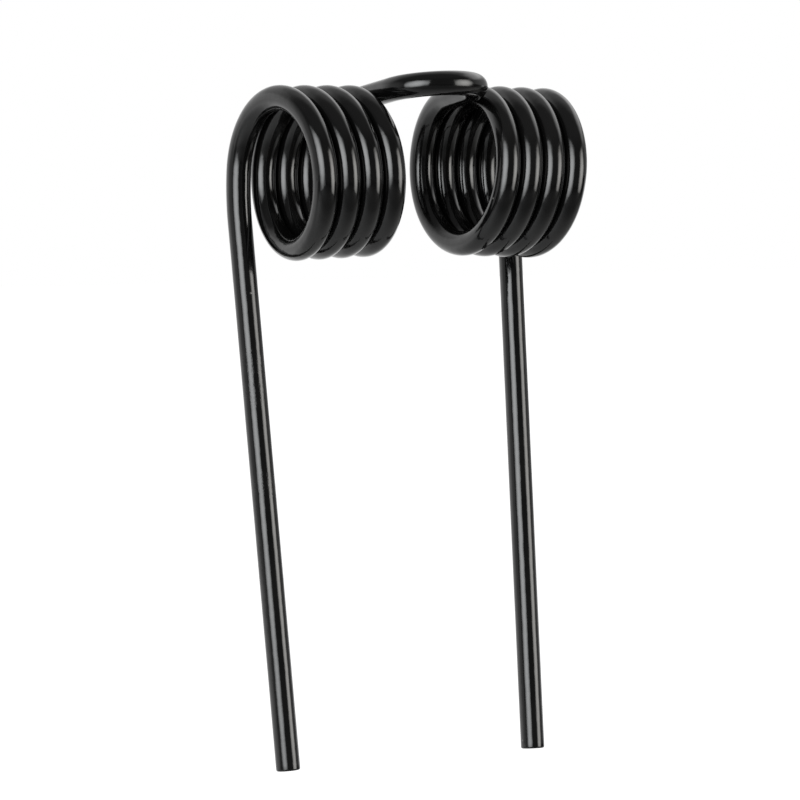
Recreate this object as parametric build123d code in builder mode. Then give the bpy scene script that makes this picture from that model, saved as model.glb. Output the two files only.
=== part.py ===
# Baler pick-up tine: a double torsion spring bent from one length of round spring wire.
#
# Frame: millimetres, +Z up. The origin is on the axis of the two coils, halfway between them.
# +X runs along that axis, the mounting loop points to -Y and the legs hang down.
#
# The wire runs from one tip up its leg and round a close-wound coil, out through the loop that
# is bolted to the tine bar, and back down the other side as a mirror image.

import os
from itertools import pairwise
from math import ceil, cos, radians, sin, tan

from build123d import *

# Wire with its coating, and the broken edge of its two cut ends
wire_diameter = 5.8
tip_edge_radius = 0.5

# Coils: the bore takes the tine bar, and the gap is the air between one turn and the next
coil_bore = 29.2
turn_gap = 0.45
whole_turns = 4
bends_per_turn = 8

# Mounting loop: the clear width between its wires, their straight run before the round end,
# and how steeply they climb away from the coils
loop_inner_width = 17.0
loop_straight = 11.5
loop_rise = 9.0

# Legs: the gentle bend that leads out of the coil, how far a leg leans towards the loop's side
# and in towards the other leg, and how far its tip hangs below the coil axis
run_out_radius = 75.0
leg_lean = 7.6
leg_toe_in = 2.0
leg_drop = 141.5

# What follows from those sizes. Angles on the coil are counted from its back, up and over.
coil_radius = (coil_bore + wire_diameter) / 2
coil_pitch = wire_diameter + turn_gap
coil_start_x = (loop_inner_width + wire_diameter) / 2
coil_start_angle = 90 - loop_rise
coil_angle = coil_start_angle + 360 * whole_turns
bend_count = ceil(coil_angle / 360 * bends_per_turn)
bend_angle = coil_angle / bend_count


def winding_corner(bends):
    """A corner of the many-sided screw line that the right coil rounds off, after so many bends."""
    turned = bend_angle * (bends - 0.5)
    angle = radians(coil_start_angle - turned)
    corner_radius = coil_radius / cos(radians(bend_angle / 2))
    return Vector(
        coil_start_x + coil_pitch * turned / 360,
        corner_radius * cos(angle),
        corner_radius * sin(angle),
    )


os.makedirs("parts", exist_ok=True)

with BuildLine() as centreline:
    # The coil winds outwards, over the back and down, as tangent arcs. Each arc rounds one
    # corner of the screw line and meets the next in the middle of the side between them, on
    # the coil's own radius. The last one ends at the back, where the wire heads down.
    corners = [winding_corner(bends) for bends in range(bend_count + 2)]
    middles = [(corner + following) / 2 for corner, following in pairwise(corners)]
    winding = [
        TangentArc(start, end, tangent=corner - start)
        for start, corner, end in zip(middles, corners[1:], middles[1:])
    ]

    # The leg: a gentle bend sets its two slants, and the rest is straight.
    coil_end = winding[-1] @ 1
    coil_end_direction = winding[-1] % 1
    leg_direction = Vector(0, 0, -1).rotate(Axis.X, -leg_lean).rotate(Axis.Y, leg_toe_in)
    run_out_angle = coil_end_direction.get_angle(leg_direction)
    setback = run_out_radius * tan(radians(run_out_angle / 2))
    run_out_corner = coil_end + coil_end_direction * setback
    run_out = TangentArc(
        coil_end, run_out_corner + leg_direction * setback, tangent=coil_end_direction
    )
    straight_length = ((run_out @ 1).Z + leg_drop) / -leg_direction.Z
    Line(run_out @ 1, (run_out @ 1) + leg_direction * straight_length)

    # One wire of the loop runs straight off the coil. Then this side is mirrored, and one
    # round bend joins the two wires of the loop.
    loop_wire = Line(middles[0], middles[0] - (winding[0] % 0) * loop_straight)
    mirror(about=Plane.YZ)
    loop_corner = loop_wire @ 1
    opposite_corner = Vector(-loop_corner.X, loop_corner.Y, loop_corner.Z)
    TangentArc(loop_corner, opposite_corner, tangent=loop_wire % 1)

# The round section is swept from tip to tip, and the edges of the cut ends are broken.
wire_path = centreline.wire()
with BuildPart() as tine:
    with BuildSketch(Plane(origin=wire_path @ 0, z_dir=wire_path % 0)):
        Circle(wire_diameter / 2)
    sweep(path=wire_path)
    cut_ends = tine.faces().filter_by(GeomType.PLANE)
    fillet(cut_ends.edges(), radius=tip_edge_radius)

tine.part.label = "tine"
export_step(tine.part, "parts/tine.step")
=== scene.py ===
"""Baler pick-up tine: one bent spring wire with a glossy black dip coating, in a white studio.

Metres, in the frame of the part: the origin is on the axis of the two coils, halfway between
them, +X runs along that axis, the mounting loop points to -Y and the legs hang down.
"""

import math

import bpy
from mathutils import Matrix, Vector
from mathutils.noise import noise


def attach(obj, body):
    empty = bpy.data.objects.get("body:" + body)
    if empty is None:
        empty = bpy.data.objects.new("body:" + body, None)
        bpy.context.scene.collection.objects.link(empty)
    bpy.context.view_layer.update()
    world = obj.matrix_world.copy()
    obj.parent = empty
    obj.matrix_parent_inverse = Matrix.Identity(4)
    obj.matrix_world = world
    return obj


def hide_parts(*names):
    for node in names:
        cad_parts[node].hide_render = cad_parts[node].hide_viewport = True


MM = 0.001

# Wire and its bends, in millimetres and degrees, as the solid has them
WIRE_RADIUS = 2.9
COIL_RADIUS = 17.5
COIL_START_X = 11.4
COIL_START_ANGLE = 81.0
WHOLE_TURNS = 4
COIL_ANGLE = COIL_START_ANGLE + WHOLE_TURNS * 360.0
LOOP_STRAIGHT = 11.5
RUN_OUT_RADIUS = 75.0

# What the bending left uneven between the two sides. For each coil: the pitch of its turns, how
# far its last part opens towards the leg, by what share its radius grows at the foot and from
# there to the leg, and how far it is turned about x, y and z at its foot. For each leg: its two
# slants and how far its tip hangs below the coil axis.
LEFT = dict(
    side=-1,
    pitch=6.056,
    opening=0.573,
    grown_at_foot=-0.0215,
    grown_to_leg=0.0217,
    turned=(0.872, -0.954, 1.552),
    lean=7.656,
    toe_in=1.699,
    drop=141.033,
)
RIGHT = dict(
    side=1,
    pitch=6.181,
    opening=0.015,
    grown_at_foot=-0.0072,
    grown_to_leg=0.0070,
    turned=(-1.843, 2.197, 0.967),
    lean=8.394,
    toe_in=1.758,
    drop=141.058,
)

# Both coils: by what share they stand taller than deep, over how many degrees of winding their
# turn and growth come in, and after how many their last part opens
TALLER = 0.0064
COMES_IN_OVER = 120.0
OPENS_FROM = 1300.0

# How far the whole wire is shifted back from the solid's place
SET_BACK = 0.02

# Mesh of the coating: spacing of its rings, in degrees on bends and in millimetres on straights,
# and points round a ring
COIL_STEP = 4.0
LOOP_STEP = 4.0
RUN_OUT_STEP = 1.2
STRAIGHT_STEP = 1.5
RING_POINTS = 56

# Coating, in millimetres: how far its mean surface lies inside the solid's, how far it swells and
# thins, and the length and share of its coarse and fine swells
COATING_INSET = 0.03
COATING_SWELL = 0.02
COARSE_SWELL_LENGTH = 9.0
COARSE_SWELL_SHARE = 0.8
FINE_SWELL_LENGTH = COARSE_SWELL_LENGTH * 0.37
FINE_SWELL_SHARE = 0.35
FINE_SWELL_SHIFT = (7.3, 1.9, 4.4)

# How much thicker it is on the coils, and the lengths of wire from the middle of the loop over
# which that comes in and fades out
COIL_COATING = 0.08
COIL_COATING_STARTS = (26.0, 46.0)
COIL_COATING_ENDS = (480.0, 520.0)

# A tip: how far it is set back, the radius and steps of its edge, and the height and inner rings
# of its slight dome
TIP_SETBACK = 0.08
TIP_EDGE_RADIUS = 0.45
TIP_EDGE_STEPS = 6
TIP_DOME = 0.1
TIP_DOME_RINGS = (0.66, 0.33)

# The black and where it is duller: colours, roughness, and the noise levels between which one
# fades into the other
BLACK = (0.002, 0.002, 0.002)
DULL_BLACK = (0.0035, 0.0034, 0.0033)
GLOSS_ROUGHNESS = 0.1
DULL_ROUGHNESS = 0.14
DULL_COLOUR_LEVELS = (0.35, 0.7)
DULL_ROUGHNESS_LEVELS = (0.3, 0.75)
DULL_SIZE = 0.018

# Relief of the coating: size and height of its orange peel and its grain, and height of specks
# and scuffs
PEEL_SIZE = 0.0032
PEEL_HEIGHT = 0.00006
GRAIN_SIZE = 0.0007
GRAIN_HEIGHT = 0.000004
SPECK_HEIGHT = 0.00005

# Dust in the coating: how far apart it may stand, its size, which share of places stays clean
# and how sharply, how much of the black it covers, and its colour
SPECK_SPACING = 0.006
SPECK_SIZE = 0.00035
SPECK_RARENESS = 0.72
SPECK_RARENESS_EDGE = 0.02
SPECK_COVER = 0.6
SPECK_COLOUR = (0.16, 0.155, 0.145)

# Rubbed patches on the left leg, how far each reaches, and the size of the grain in them
SCUFF_PLACES = ((-0.0360, 0.0055, -0.0735), (-0.0379, 0.0092, -0.045), (-0.0379, 0.0083, -0.052))
SCUFF_REACH = 0.0045
SCUFF_GRAIN_SIZE = 0.0006

# Camera: its place, its turn about the vertical, its tilt down, its roll and what it can see
CAMERA_PLACE = (-0.428903, -0.753840, 0.014399)
CAMERA_YAW = 29.4429
CAMERA_PITCH = 4.5522
CAMERA_ROLL = 0.1277
CAMERA_LENS = 164.071
SENSOR_WIDTH = 36.0
NEAREST_SEEN = 0.01
FARTHEST_SEEN = 100.0

# Lights, as seen from the part: angle round from the camera (+ is to its right), height angle,
# distance in metres, half-width and half-height in degrees, roll, and radiance in the middle
MAIN_LIGHT = dict(around=-26, up=5, far=1.2, half_width=25, half_height=28, roll=3, radiance=8.0)
SIDE_LIGHT = dict(around=71.5, up=0, far=1.2, half_width=20, half_height=25, roll=0, radiance=6.6)
MAIN_TINT = (0.97, 0.99, 1.0)
SIDE_TINT = (1.0, 0.985, 0.95)

# A softbox fades from its middle, by this share at the middle of a side, and keeps at least that
SOFTBOX_FADE = 0.75
SOFTBOX_LEAST = 0.12

# The room round the part: how bright it is in front, at its left, high up, and for light that
# isn't mirrored
ROOM_FRONT = 0.10
ROOM_LEFT = 0.60
ROOM_HIGH = 0.17
ROOM_EVEN = 0.2

# The sweep behind it: how bright it is on each side, in the band that its lamps light above the
# part, and higher up
BACK_LEFT = 1.15
BACK_RIGHT = 0.45
BACK_LAMPS_LEFT = 0.8
BACK_LAMPS_RIGHT = 1.8
BACK_HIGH = 0.55

# Where each of these fades in, as the cosine of the angle to the camera's left, up or forward
ROOM_LEFT_FADE = (0.7, 1.0)
ROOM_HIGH_FADE = (0.5, 0.8)
BACK_FADE = (-0.1, 0.35)
BACK_LEFT_FADE = (-0.6, 0.2)
BACK_LAMPS_FADE = (0.3, 0.5)
BACK_HIGH_FADE = (0.7, 0.85)

# Floor: its height, its four ends, and where its front part and its back part fade along Y
FLOOR_HEIGHT = -0.45
FLOOR_FRONT = -2.0
FLOOR_LEFT = -3.0
FLOOR_BACK = 8.0
FLOOR_RIGHT = 6.0
FLOOR_FRONT_FADE = (-0.5, 0.1)
FLOOR_BACK_FADE = (0.1, 0.9)

# Its paper, the share of the paper's colour left at the front, where it is darkened as painted
# shade, and its glow: to the camera, to the camera at the front, and at the back in gloss and
# glass
FLOOR_PAPER = 0.8
FLOOR_PAINTED_SHADE_SHARE = 0.2
FLOOR_GLOW = 0.96
FLOOR_FRONT_GLOW = 1.0
FLOOR_BACK_GLOW = 0.9


def eased(share):
    """A share from 0 to 1 that starts and stops gently."""
    share = max(0.0, min(1.0, share))
    return share * share * (3 - 2 * share)


def even_coil_point(half, wound):
    """A point of one coil's centreline after so many degrees of winding, on the solid's axis."""
    angle = math.radians(COIL_START_ANGLE - wound)
    comes_in = eased(wound / COMES_IN_OVER)
    opened = half["opening"] * eased((wound - OPENS_FROM) / (COIL_ANGLE - OPENS_FROM))
    along_axis = COIL_START_X + half["pitch"] * wound / 360 + opened
    grown = half["grown_at_foot"] * comes_in + half["grown_to_leg"] * wound / COIL_ANGLE
    radius = COIL_RADIUS * (1 + grown)
    height = radius * (1 + TALLER * comes_in)
    return Vector((half["side"] * along_axis, radius * math.cos(angle), height * math.sin(angle)))


def coil_point(half, wound):
    """The same point, with the coil turned a little about its foot."""
    even = even_coil_point(half, wound)
    foot = even_coil_point(half, 0)
    about_x, about_y, about_z = (math.radians(angle) for angle in half["turned"])
    turn = Matrix.Rotation(about_z, 3, "Z") @ Matrix.Rotation(about_y, 3, "Y")
    turn = turn @ Matrix.Rotation(about_x, 3, "X")
    return even.lerp(foot + turn @ (even - foot), eased(wound / COMES_IN_OVER))


def coil_direction(half, wound):
    """The way the wire runs there."""
    step = 0.01
    return (coil_point(half, wound + step) - coil_point(half, wound - step)).normalized()


def straight(start, end):
    """Points from start to end, without start itself."""
    count = max(2, math.ceil((end - start).length / STRAIGHT_STEP))
    return [start.lerp(end, i / count) for i in range(1, count + 1)]


def bend(start, direction, end_direction, radius, step):
    """Points along a bend that leaves start in one direction and ends in another."""
    axis = direction.cross(end_direction).normalized()
    centre = start + axis.cross(direction) * radius
    angle = direction.angle(end_direction)
    count = max(2, math.ceil(math.degrees(angle) / step))
    turns = [Matrix.Rotation(angle * i / count, 3, axis) for i in range(1, count + 1)]
    return [centre + turn @ (start - centre) for turn in turns]


def half_loop(half):
    """Points from the middle of the loop to the foot of one of its wires, at the coil."""
    foot = coil_point(half, 0)
    out = -coil_direction(half, 0)
    corner = foot + out * LOOP_STRAIGHT
    climb = Vector((0, out.y, out.z)).normalized()
    sideways = Vector((half["side"], 0, 0))
    first = math.asin(-out.dot(sideways))
    radius = abs(corner.x) / math.cos(first)
    centre = corner - radius * (math.cos(first) * sideways + math.sin(first) * climb)
    count = math.ceil(math.degrees(math.pi / 2 - first) / LOOP_STEP)
    angles = [math.pi / 2 + (first - math.pi / 2) * i / count for i in range(count + 1)]
    arc = [
        centre + radius * (math.cos(angle) * sideways + math.sin(angle) * climb)
        for angle in angles
    ]
    return arc + straight(corner, foot)


def half_line(half):
    """One side of the wire's centreline, from the middle of the loop to the tip."""
    points = half_loop(half)
    coil_steps = math.ceil(COIL_ANGLE / COIL_STEP)
    points += [coil_point(half, COIL_ANGLE * i / coil_steps) for i in range(1, coil_steps + 1)]
    lean = Matrix.Rotation(math.radians(-half["lean"]), 3, "X")
    toe_in = Matrix.Rotation(math.radians(half["toe_in"] * half["side"]), 3, "Y")
    down = toe_in @ (lean @ Vector((0, 0, -1)))
    leaving = coil_direction(half, COIL_ANGLE)
    points += bend(points[-1], leaving, down, RUN_OUT_RADIUS, RUN_OUT_STEP)
    leg_length = (points[-1].z + half["drop"]) / -down.z - TIP_SETBACK
    return points + straight(points[-1], points[-1] + down * leg_length)


def centreline():
    """The wire's centreline from the left tip over the loop to the right tip, in millimetres.

    The middle of the loop is the point whose number comes with it.
    """
    left = half_line(LEFT)
    line = left[:0:-1] + half_line(RIGHT)
    return [point + Vector((0, SET_BACK, 0)) for point in line], len(left) - 1


def lengths_from(points, middle):
    """The length of wire between each point and the one in the middle."""
    lengths = [0.0]
    for before, after in zip(points, points[1:]):
        lengths.append(lengths[-1] + (after - before).length)
    return [abs(length - lengths[middle]) for length in lengths]


def carried_frames(points):
    """At each point the way the wire runs, and two directions across it that don't twist."""
    towards = [points[1] - points[0]]
    towards += [after - before for before, after in zip(points, points[2:])]
    towards.append(points[-1] - points[-2])
    frames = []
    side = Vector((1, 0, 0))
    for direction in towards:
        direction.normalize()
        side = (side - direction * side.dot(direction)).normalized()
        frames.append((direction, side, direction.cross(side)))
    return frames


def swell(place):
    """How far the coating stands out of its mean surface at a place on the wire."""
    coarse = noise(place / COARSE_SWELL_LENGTH)
    fine = noise(place / FINE_SWELL_LENGTH + Vector(FINE_SWELL_SHIFT))
    share = COARSE_SWELL_SHARE * coarse + FINE_SWELL_SHARE * fine
    return COATING_SWELL * max(-1.0, min(1.0, share))


def coil_coating(from_middle):
    """How much thicker the coating is at a length of wire from the middle of the loop."""
    starts, ends = COIL_COATING_STARTS, COIL_COATING_ENDS
    grows = eased((from_middle - starts[0]) / (starts[1] - starts[0]))
    stops = eased((from_middle - ends[0]) / (ends[1] - ends[0]))
    return COIL_COATING * grows * (1 - stops)


def tip_profile():
    """Radius lost and length gained at each ring of a tip's rounded edge."""
    angles = [math.pi / 2 * i / TIP_EDGE_STEPS for i in range(TIP_EDGE_STEPS + 1)]
    return [
        (TIP_EDGE_RADIUS * (1 - math.cos(angle)), TIP_EDGE_RADIUS * math.sin(angle))
        for angle in angles
    ]


def ring(centre, side, across, lost):
    """One ring of the coating's surface, with its radius less by what is lost there."""
    found = []
    for i in range(RING_POINTS):
        angle = 2 * math.pi * i / RING_POINTS
        out = side * math.cos(angle) + across * math.sin(angle)
        skin = centre + out * WIRE_RADIUS
        found.append(centre + out * (WIRE_RADIUS - COATING_INSET + swell(skin) - lost))
    return found


def coating_rings(points, frames, middle):
    """All rings of the coating's surface, from the edge of the left tip to that of the right."""
    from_middle = lengths_from(points, middle)
    profile = tip_profile()
    end = len(points) - 1

    def ring_at(i, lost, gained):
        direction, side, across = frames[i]
        lost -= coil_coating(from_middle[i])
        return ring(points[i] + direction * gained, side, across, lost)

    # A tip's edge starts one edge radius before its end
    rings = [ring_at(0, lost, TIP_EDGE_RADIUS - gained) for lost, gained in reversed(profile)]
    rings += [ring_at(i, 0.0, 0.0) for i in range(1, end)]
    rings += [ring_at(end, lost, gained - TIP_EDGE_RADIUS) for lost, gained in profile]
    return rings


def band(earlier, later):
    """Faces between two rings that follow each other along the wire, by their first vertices."""
    faces = []
    for j in range(RING_POINTS):
        k = (j + 1) % RING_POINTS
        faces.append((later + k, later + j, earlier + j, earlier + k))
    return faces


def close_tip(vertices, faces, rim, middle, outward, is_start):
    """A tip closed by rings that shrink to a point on a slight dome."""
    inner = rim
    for share in TIP_DOME_RINGS:
        start = len(vertices)
        rise = outward * TIP_DOME * (1 - share**2)
        vertices += [middle.lerp(vertices[rim + j], share) + rise for j in range(RING_POINTS)]
        faces += band(start, inner) if is_start else band(inner, start)
        inner = start
    peak = len(vertices)
    vertices.append(middle + outward * TIP_DOME)
    for j in range(RING_POINTS):
        k = (j + 1) % RING_POINTS
        faces.append((inner + k, inner + j, peak) if is_start else (peak, inner + j, inner + k))


def coated_wire():
    """The whole coated wire as one closed mesh."""
    points, middle = centreline()
    frames = carried_frames(points)
    rings = coating_rings(points, frames, middle)
    vertices = [point for circle in rings for point in circle]
    starts = [i * RING_POINTS for i in range(len(rings))]
    faces = []
    for earlier, later in zip(starts, starts[1:]):
        faces += band(earlier, later)
    close_tip(vertices, faces, starts[0], points[0], -frames[0][0], is_start=True)
    close_tip(vertices, faces, starts[-1], points[-1], frames[-1][0], is_start=False)

    mesh = bpy.data.meshes.new("coated_wire")
    mesh.from_pydata([tuple(point * MM) for point in vertices], [], faces)
    mesh.polygons.foreach_set("use_smooth", [True] * len(mesh.polygons))
    mesh.validate()
    mesh.update()
    made = bpy.data.objects.new("coated_wire", mesh)
    bpy.context.scene.collection.objects.link(made)
    return made


class Nodes:
    """A short way to add and join shader nodes."""

    def __init__(self, tree):
        self.tree = tree
        tree.nodes.clear()

    def add(self, kind, **settings):
        """A new node of one of Blender's kinds, with its settings."""
        node = self.tree.nodes.new(kind)
        for name, value in settings.items():
            setattr(node, name, value)
        return node

    def join(self, source, target):
        """A link from an output to an input."""
        self.tree.links.new(source, target)

    def noise(self, place, size, detail=2.0, roughness=0.5):
        """Smooth noise with features about that many metres across."""
        node = self.add("ShaderNodeTexNoise")
        self.join(place, node.inputs["Vector"])
        node.inputs["Scale"].default_value = 1 / size
        node.inputs["Detail"].default_value = detail
        node.inputs["Roughness"].default_value = roughness
        return node.outputs["Fac"]

    def ramp(self, value, low, high, to_low=0.0, to_high=1.0):
        """A value brought from one range to another, smoothly and without going past it."""
        node = self.add("ShaderNodeMapRange", interpolation_type="SMOOTHSTEP")
        self.join(value, node.inputs["Value"])
        for name, number in (
            ("From Min", low),
            ("From Max", high),
            ("To Min", to_low),
            ("To Max", to_high),
        ):
            node.inputs[name].default_value = number
        return node.outputs["Result"]

    def combine(self, operation, first, second):
        """Two values, each a number or an output, combined by an operation such as ADD."""
        node = self.add("ShaderNodeMath", operation=operation)
        for socket, value in zip(node.inputs, (first, second)):
            if isinstance(value, (int, float)):
                socket.default_value = value
            else:
                self.join(value, socket)
        return node.outputs[0]

    def mix(self, share, first, second):
        """Two colours mixed by a share."""
        node = self.add("ShaderNodeMix", data_type="RGBA")
        self.join(share, node.inputs["Factor"])
        for name, colour in (("A", first), ("B", second)):
            socket = next(s for s in node.inputs if s.name == name and s.type == "RGBA")
            if isinstance(colour, tuple):
                socket.default_value = (*colour, 1)
            else:
                self.join(colour, socket)
        return next(socket for socket in node.outputs if socket.type == "RGBA")

    def bump(self, height, distance, under=None):
        """Relief of that height, on top of the relief under it."""
        node = self.add("ShaderNodeBump")
        node.inputs["Distance"].default_value = distance
        self.join(height, node.inputs["Height"])
        if under is not None:
            self.join(under, node.inputs["Normal"])
        return node.outputs["Normal"]


def dust_specks(nodes, place):
    """Where a speck of dust stands in the coating: here and there one, under a millimetre wide."""
    cells = nodes.add("ShaderNodeTexVoronoi")
    nodes.join(place, cells.inputs["Vector"])
    cells.inputs["Scale"].default_value = 1 / SPECK_SPACING
    chance = nodes.add("ShaderNodeSeparateColor")
    nodes.join(cells.outputs["Color"], chance.inputs[0])
    here = nodes.ramp(cells.outputs["Distance"], SPECK_SIZE / SPECK_SPACING, 0.0)
    rare = nodes.ramp(chance.outputs[0], SPECK_RARENESS, SPECK_RARENESS + SPECK_RARENESS_EDGE)
    return nodes.combine("MULTIPLY", here, rare)


def leg_scuffs(nodes, place):
    """The small rubbed patches on the front of the left leg."""
    patches = 0.0
    for middle in SCUFF_PLACES:
        away = nodes.add("ShaderNodeVectorMath", operation="DISTANCE")
        nodes.join(place, away.inputs[0])
        away.inputs[1].default_value = middle
        patch = nodes.ramp(away.outputs["Value"], SCUFF_REACH, SCUFF_REACH / 2)
        patches = nodes.combine("MAXIMUM", patch, patches)
    grain = nodes.noise(place, SCUFF_GRAIN_SIZE, detail=3.0, roughness=0.7)
    return nodes.combine("MULTIPLY", patches, grain)


def black_coating():
    """Gloss black dip coating: orange peel, fine grain, dust caught in it, and duller places."""
    material = bpy.data.materials.new("black_coating")
    material.use_nodes = True
    nodes = Nodes(material.node_tree)
    place = nodes.add("ShaderNodeTexCoord").outputs["Object"]
    dull = nodes.noise(place, DULL_SIZE, detail=3.0)
    specks = dust_specks(nodes, place)
    scuffs = leg_scuffs(nodes, place)
    surface = nodes.add("ShaderNodeBsdfPrincipled")

    colour = nodes.mix(nodes.ramp(dull, *DULL_COLOUR_LEVELS), BLACK, DULL_BLACK)
    colour = nodes.mix(nodes.combine("MULTIPLY", specks, SPECK_COVER), colour, SPECK_COLOUR)
    nodes.join(colour, surface.inputs["Base Color"])
    roughness = nodes.ramp(dull, *DULL_ROUGHNESS_LEVELS, GLOSS_ROUGHNESS, DULL_ROUGHNESS)
    nodes.join(roughness, surface.inputs["Roughness"])

    relief = nodes.bump(nodes.noise(place, PEEL_SIZE, detail=1.5), PEEL_HEIGHT)
    relief = nodes.bump(nodes.noise(place, GRAIN_SIZE), GRAIN_HEIGHT, relief)
    relief = nodes.bump(nodes.combine("ADD", specks, scuffs), SPECK_HEIGHT, relief)
    nodes.join(relief, surface.inputs["Normal"])
    output = nodes.add("ShaderNodeOutputMaterial")
    nodes.join(surface.outputs[0], output.inputs["Surface"])
    return material


def camera():
    """The camera, as the outline of the part in the photo places it."""
    data = bpy.data.cameras.new("camera")
    data.lens = CAMERA_LENS
    data.sensor_width = SENSOR_WIDTH
    data.clip_start = NEAREST_SEEN
    data.clip_end = FARTHEST_SEEN
    made = bpy.data.objects.new("camera", data)
    turn = Matrix.Rotation(math.radians(-CAMERA_YAW), 4, "Z")
    tilt = Matrix.Rotation(math.radians(90 - CAMERA_PITCH), 4, "X")
    roll = Matrix.Rotation(math.radians(CAMERA_ROLL), 4, "Z")
    made.matrix_world = Matrix.Translation(CAMERA_PLACE) @ turn @ tilt @ roll
    bpy.context.scene.collection.objects.link(made)
    bpy.context.scene.camera = made


def camera_axes():
    """Right, back and up of the camera's view, as directions in the part's frame."""
    turn = bpy.context.scene.camera.matrix_world.to_3x3()
    return turn @ Vector((1, 0, 0)), turn @ Vector((0, 0, 1)), turn @ Vector((0, 1, 0))


def softbox_glow(light):
    """A softbox's own brightness: full in its middle, less towards its corners."""
    light.use_nodes = True
    nodes = Nodes(light.node_tree)
    # The place on the light runs from 0 to 1 across its width and its height
    from_middle = nodes.add("ShaderNodeVectorMath", operation="DISTANCE")
    nodes.join(nodes.add("ShaderNodeNewGeometry").outputs["Parametric"], from_middle.inputs[0])
    from_middle.inputs[1].default_value = (0.5, 0.5, 0)
    to_side = nodes.combine("MULTIPLY", from_middle.outputs["Value"], 2.0)
    fade = nodes.combine("MULTIPLY", nodes.combine("POWER", to_side, 2.0), SOFTBOX_FADE)
    strength = nodes.combine("MAXIMUM", nodes.combine("SUBTRACT", 1.0, fade), SOFTBOX_LEAST)
    glow = nodes.add("ShaderNodeEmission")
    nodes.join(strength, glow.inputs["Strength"])
    nodes.join(glow.outputs[0], nodes.add("ShaderNodeOutputLight").inputs["Surface"])


def softbox(name, colour, around, up, far, half_width, half_height, roll, radiance):
    """A rectangular soft light that faces the part from a direction given round the camera's."""
    light = bpy.data.lights.new(name, "AREA")
    light.shape = "RECTANGLE"
    light.size = 2 * far * math.tan(math.radians(half_width))
    light.size_y = 2 * far * math.tan(math.radians(half_height))
    light.color = colour
    light.energy = radiance * math.pi * light.size * light.size_y
    softbox_glow(light)

    right, back, above = camera_axes()
    round_it, over_it = math.radians(around), math.radians(up)
    level = math.sin(round_it) * right + math.cos(round_it) * back
    away = math.cos(over_it) * level + math.sin(over_it) * above
    aim = (-away).to_track_quat("-Z", "Y").to_matrix().to_4x4()
    rolled = Matrix.Rotation(math.radians(roll), 4, "Z")
    made = bpy.data.objects.new(name, light)
    made.matrix_world = Matrix.Translation(away * far) @ aim @ rolled
    made.visible_camera = False
    bpy.context.scene.collection.objects.link(made)


def mirrored_rays(nodes, rays):
    """Whether a ray comes off gloss or through glass."""
    gloss, glass = rays.outputs["Is Glossy Ray"], rays.outputs["Is Transmission Ray"]
    return nodes.combine("MAXIMUM", gloss, glass)


def grey(value):
    """A grey of that brightness."""
    return (value, value, value)


def studio(nodes):
    """The room in front of the part and the lit sweep behind it, by direction."""
    direction = nodes.add("ShaderNodeTexCoord").outputs["Generated"]
    right, back, above = camera_axes()

    def cosine_to(axis):
        dot = nodes.add("ShaderNodeVectorMath", operation="DOT_PRODUCT")
        nodes.join(direction, dot.inputs[0])
        dot.inputs[1].default_value = axis
        return dot.outputs["Value"]

    leftward, upward, behind = cosine_to(-right), cosine_to(above), cosine_to(-back)
    room = nodes.mix(nodes.ramp(leftward, *ROOM_LEFT_FADE), grey(ROOM_FRONT), grey(ROOM_LEFT))
    room = nodes.mix(nodes.ramp(upward, *ROOM_HIGH_FADE), room, grey(ROOM_HIGH))
    left = nodes.ramp(leftward, *BACK_LEFT_FADE)
    sweep = nodes.mix(left, grey(BACK_RIGHT), grey(BACK_LEFT))
    lamps = nodes.mix(left, grey(BACK_LAMPS_RIGHT), grey(BACK_LAMPS_LEFT))
    sweep = nodes.mix(nodes.ramp(upward, *BACK_LAMPS_FADE), sweep, lamps)
    sweep = nodes.mix(nodes.ramp(upward, *BACK_HIGH_FADE), sweep, grey(BACK_HIGH))
    return nodes.mix(nodes.ramp(behind, *BACK_FADE), room, sweep)


def surroundings():
    """Gloss and glass show the studio, the camera sees plain white, other rays an even grey."""
    world = bpy.data.worlds.new("studio")
    world.use_nodes = True
    bpy.context.scene.world = world
    nodes = Nodes(world.node_tree)
    rays = nodes.add("ShaderNodeLightPath")
    colour = nodes.mix(mirrored_rays(nodes, rays), grey(ROOM_EVEN), studio(nodes))
    colour = nodes.mix(rays.outputs["Is Camera Ray"], colour, grey(1.0))
    light = nodes.add("ShaderNodeBackground")
    nodes.join(colour, light.inputs["Color"])
    nodes.join(light.outputs[0], nodes.add("ShaderNodeOutputWorld").inputs["Surface"])


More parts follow.
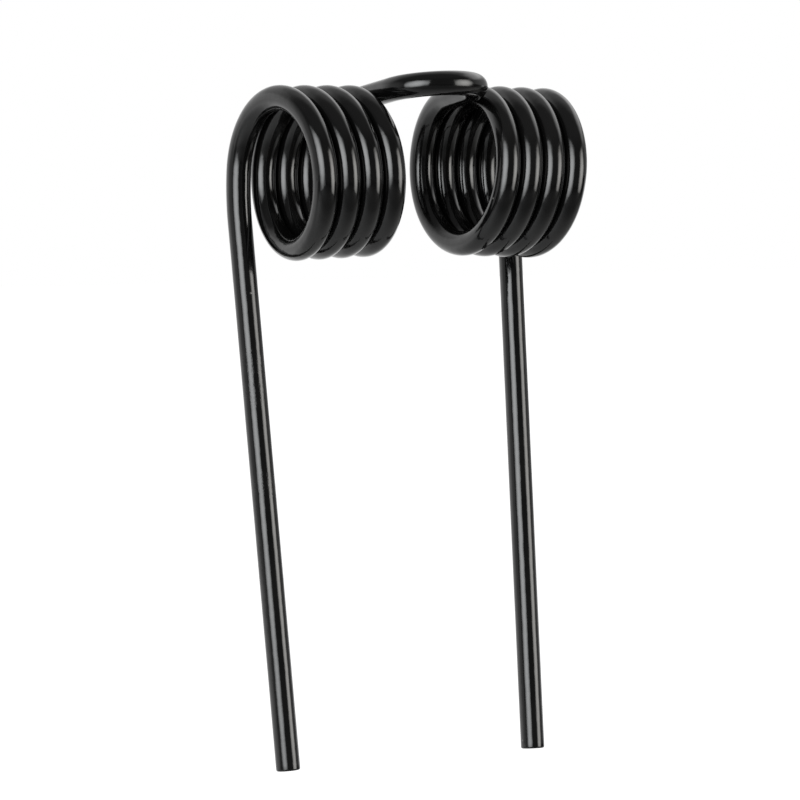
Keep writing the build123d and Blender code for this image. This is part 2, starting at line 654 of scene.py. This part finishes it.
def floor_paper():
    """Pale paper whose colour is darkened towards the front, a painted shade where the studio's
    light ends.

    It is white to the camera, and towards the back it is pale in gloss and glass too.
    """
    material = bpy.data.materials.new("floor_paper")
    material.use_nodes = True
    nodes = Nodes(material.node_tree)
    place = nodes.add("ShaderNodeSeparateXYZ")
    nodes.join(nodes.add("ShaderNodeNewGeometry").outputs["Position"], place.inputs[0])
    along = place.outputs["Y"]
    # The paper's colour is darkened towards the front: painted shade, not a change in the paper.
    painted_light_share = nodes.ramp(along, *FLOOR_FRONT_FADE, FLOOR_PAINTED_SHADE_SHARE, 1.0)
    paper = nodes.add("ShaderNodeBsdfDiffuse")
    nodes.join(nodes.combine("MULTIPLY", painted_light_share, FLOOR_PAPER), paper.inputs["Color"])

    rays = nodes.add("ShaderNodeLightPath")
    at_back = nodes.ramp(along, *FLOOR_BACK_FADE, 0.0, FLOOR_BACK_GLOW)
    mirrored = nodes.combine("MULTIPLY", mirrored_rays(nodes, rays), at_back)
    to_camera = nodes.ramp(along, *FLOOR_FRONT_FADE, FLOOR_FRONT_GLOW, FLOOR_GLOW)
    seen = nodes.combine("MULTIPLY", rays.outputs["Is Camera Ray"], to_camera)
    glow = nodes.add("ShaderNodeEmission")
    nodes.join(nodes.combine("ADD", seen, mirrored), glow.inputs["Strength"])

    both = nodes.add("ShaderNodeAddShader")
    nodes.join(paper.outputs[0], both.inputs[0])
    nodes.join(glow.outputs[0], both.inputs[1])
    nodes.join(both.outputs[0], nodes.add("ShaderNodeOutputMaterial").inputs["Surface"])
    return material


def floor():
    """A pale floor well below the hanging part."""
    mesh = bpy.data.meshes.new("floor")
    near = [(FLOOR_LEFT, FLOOR_FRONT), (FLOOR_RIGHT, FLOOR_FRONT)]
    far = [(FLOOR_RIGHT, FLOOR_BACK), (FLOOR_LEFT, FLOOR_BACK)]
    mesh.from_pydata([(x, y, FLOOR_HEIGHT) for x, y in near + far], [], [(0, 1, 2, 3)])
    mesh.materials.append(floor_paper())
    made = bpy.data.objects.new("floor", mesh)
    bpy.context.scene.collection.objects.link(made)


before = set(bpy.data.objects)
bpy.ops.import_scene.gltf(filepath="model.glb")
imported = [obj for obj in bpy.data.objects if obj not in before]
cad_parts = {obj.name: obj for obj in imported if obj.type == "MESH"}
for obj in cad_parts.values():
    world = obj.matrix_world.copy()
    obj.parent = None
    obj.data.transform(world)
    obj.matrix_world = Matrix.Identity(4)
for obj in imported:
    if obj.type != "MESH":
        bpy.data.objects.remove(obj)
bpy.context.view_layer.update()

wire = coated_wire()
wire.data.materials.append(black_coating())
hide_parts("tine")
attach(wire, "root")

camera()
softbox("main_light", MAIN_TINT, **MAIN_LIGHT)
softbox("side_light", SIDE_TINT, **SIDE_LIGHT)
surroundings()
floor()
bpy.context.scene.view_settings.view_transform = "Standard"
